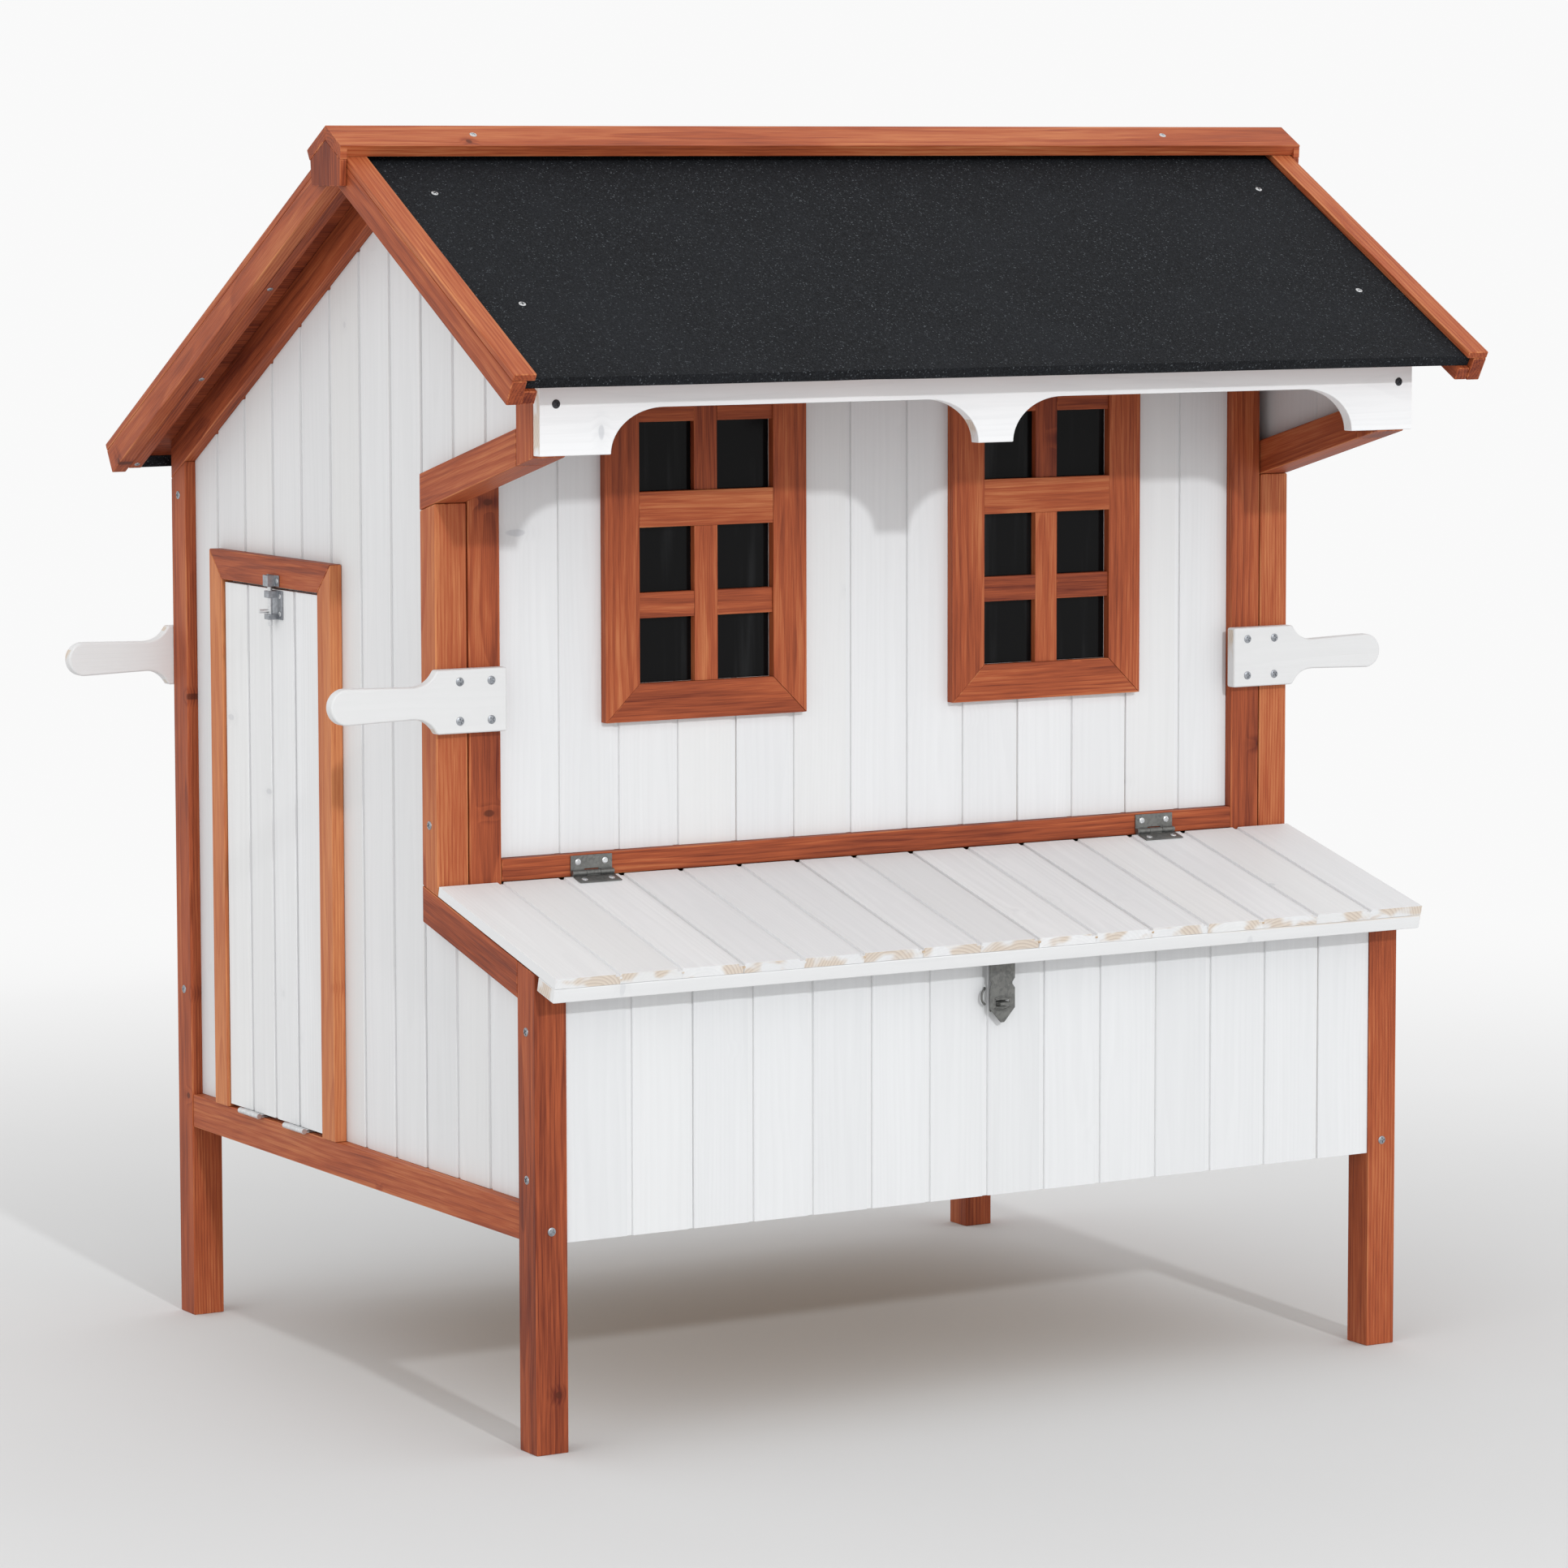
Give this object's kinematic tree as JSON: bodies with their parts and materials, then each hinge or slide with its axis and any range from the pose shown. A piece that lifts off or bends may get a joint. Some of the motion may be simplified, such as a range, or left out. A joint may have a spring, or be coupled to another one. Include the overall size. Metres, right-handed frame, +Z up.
{
  "type": "rabbit hutch",
  "caption": "Raised wooden cottage hutch, saltbox felt roof, two fixed windows, hinged nest box lid with hasp, drop-down ramp door with barrel bolt, four carrying handles.",
  "frame": {"origin": "centre of the bounding box's bottom face, on the floor under the hutch", "axes": "+X to the right along the front with the nest box, +Y to the back, +Z up"},
  "size_m": [1.23, 0.916, 1.2482],
  "materials": {
    "stained_wood": "satin red-brown stain on planed pine",
    "white_wood": "matt white paint on tongue-and-groove pine",
    "roofing_felt": "mineral-faced black bitumen felt",
    "plywood": "bare sheet wood",
    "galvanised_steel": "galvanised",
    "window_acrylic": "glossy dark pane"
  },
  "bodies": {
    "root": {"back_leg_left": "stained_wood", "back_leg_right": "stained_wood", "front_leg_left": "stained_wood", "front_leg_right": "stained_wood", "bottom_rail_left": "stained_wood", "bottom_rail_right": "stained_wood", "nest_rail_left": "stained_wood", "nest_rail_right": "stained_wood", "porch_stile_left": "stained_wood", "porch_stile_right": "stained_wood", "eave_bracket_left": "stained_wood", "eave_bracket_right": "stained_wood", "gable_rafters_left": "stained_wood", "gable_rafters_right": "stained_wood", "wall_stile_left": "stained_wood", "wall_stile_right": "stained_wood", "window_frame_left": "stained_wood", "window_frame_right": "stained_wood", "sill_rail": "stained_wood", "ridge_cap": "stained_wood", "ramp_door_frame": "stained_wood", "rake_front_left": "stained_wood", "rake_front_right": "stained_wood", "rake_back_left": "stained_wood", "rake_back_right": "stained_wood", "gable_boards_left": "white_wood", "gable_boards_right": "white_wood", "front_wall_boards": "white_wood", "valance": "white_wood", "nest_front_boards": "white_wood", "back_wall_boards": "white_wood", "handle_front_left": "white_wood", "handle_front_right": "white_wood", "handle_back_left": "white_wood", "handle_back_right": "white_wood", "roof_felt_front": "roofing_felt", "roof_felt_back": "roofing_felt", "floor_panel": "plywood", "roof_deck_front": "plywood", "roof_deck_back": "plywood", "lid_hinge_frame_1": "galvanised_steel", "lid_hinge_frame_2": "galvanised_steel", "ramp_hinge_frame_1": "galvanised_steel", "ramp_hinge_frame_2": "galvanised_steel", "hasp_staple": "galvanised_steel", "bolt_keeper": "galvanised_steel", "window_pane_left": "window_acrylic", "window_pane_right": "window_acrylic"},
    "lid": {"lid_boards": "white_wood", "lid_batten": "white_wood", "lid_hinge_leaf_1": "galvanised_steel", "lid_hinge_leaf_2": "galvanised_steel", "hasp_leaf": "galvanised_steel"},
    "hasp": {"hasp_strap": "galvanised_steel"},
    "ramp_door": {"ramp_door_boards": "white_wood", "ramp_hinge_leaf_1": "galvanised_steel", "ramp_hinge_leaf_2": "galvanised_steel", "bolt_body": "galvanised_steel"},
    "bolt": {"bolt_rod": "galvanised_steel"}
  },
  "joints": [
    {"name": "lid_hinge", "type": "hinge", "parent": "root", "child": "lid", "pos_m": [0.003, -0.194, 0.5226], "axis": [-1, 0, 0], "range_deg": [0, 98]},
    {"name": "hasp_hinge", "type": "hinge", "parent": "lid", "child": "hasp", "pos_m": [0.018, -0.39355, 0.43834], "axis": [-1, 0, 0], "range_deg": [0, 74]},
    {"name": "ramp_hinge", "type": "hinge", "parent": "root", "child": "ramp_door", "pos_m": [-0.5008, 0.1775, 0.238], "axis": [0, -1, 0], "range_deg": [0, 114]},
    {"name": "bolt_slide", "type": "slide", "parent": "ramp_door", "child": "bolt", "axis": [0, 0, 1], "range_m": [0, 0.01]}
  ]
}
